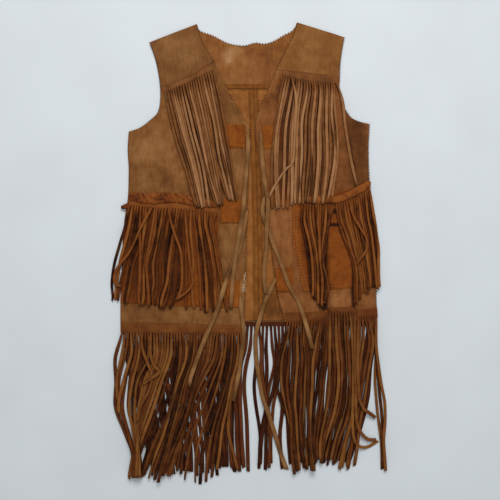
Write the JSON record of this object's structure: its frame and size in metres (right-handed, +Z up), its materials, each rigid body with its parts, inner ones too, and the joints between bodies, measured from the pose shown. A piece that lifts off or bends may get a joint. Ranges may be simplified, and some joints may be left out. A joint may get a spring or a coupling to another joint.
{
  "type": "fringed suede western vest",
  "caption": "Sleeveless open-front suede vest with yoke, pocket and hem fringe and leather thong ties, laid flat on its back.",
  "frame": {"origin": "middle of the laid vest, on the surface that its back lies on", "axes": "+Y to the neck, +Z up out of the fronts, +X to the right as seen from above with the neck away"},
  "size_m": [0.5292, 0.896, 0.0223],
  "materials": {
    "smooth_suede": "brushed suede, matt",
    "rough_suede": "rough flesh side of suede, matt",
    "yoke_fringe": "cut suede strands, matt",
    "brown_fringe": "cut suede strands, matt",
    "tie_leather": "worn leather thong, matt"
  },
  "bodies": {
    "root": {"back_yoke": "smooth_suede", "back_left": "smooth_suede", "back_right": "smooth_suede", "seam_yoke": "smooth_suede", "seam_centre_left": "smooth_suede", "seam_centre_right": "smooth_suede", "yoke_left": "smooth_suede", "yoke_right": "smooth_suede", "front_left": "smooth_suede", "front_right": "smooth_suede", "pocket_left": "rough_suede", "pocket_right": "rough_suede", "tab_chest_left": "rough_suede", "tab_waist_left": "rough_suede", "tab_hip_left": "rough_suede", "tab_chest_right": "rough_suede", "tab_waist_right": "rough_suede", "tab_hip_right": "rough_suede", "band_left": "rough_suede", "band_right": "rough_suede", "fringe_yoke_left": "yoke_fringe", "fringe_yoke_right": "yoke_fringe", "fringe_pocket_left": "brown_fringe", "fringe_pocket_right": "brown_fringe", "fringe_hem_left": "brown_fringe", "fringe_hem_right": "brown_fringe", "fringe_hem_back": "brown_fringe", "tie_chest_left": "tie_leather", "tie_waist_left": "tie_leather", "tie_hip_left": "tie_leather", "tie_chest_right": "tie_leather", "tie_waist_right": "tie_leather", "tie_hip_right": "tie_leather"}
  },
  "joints": []
}
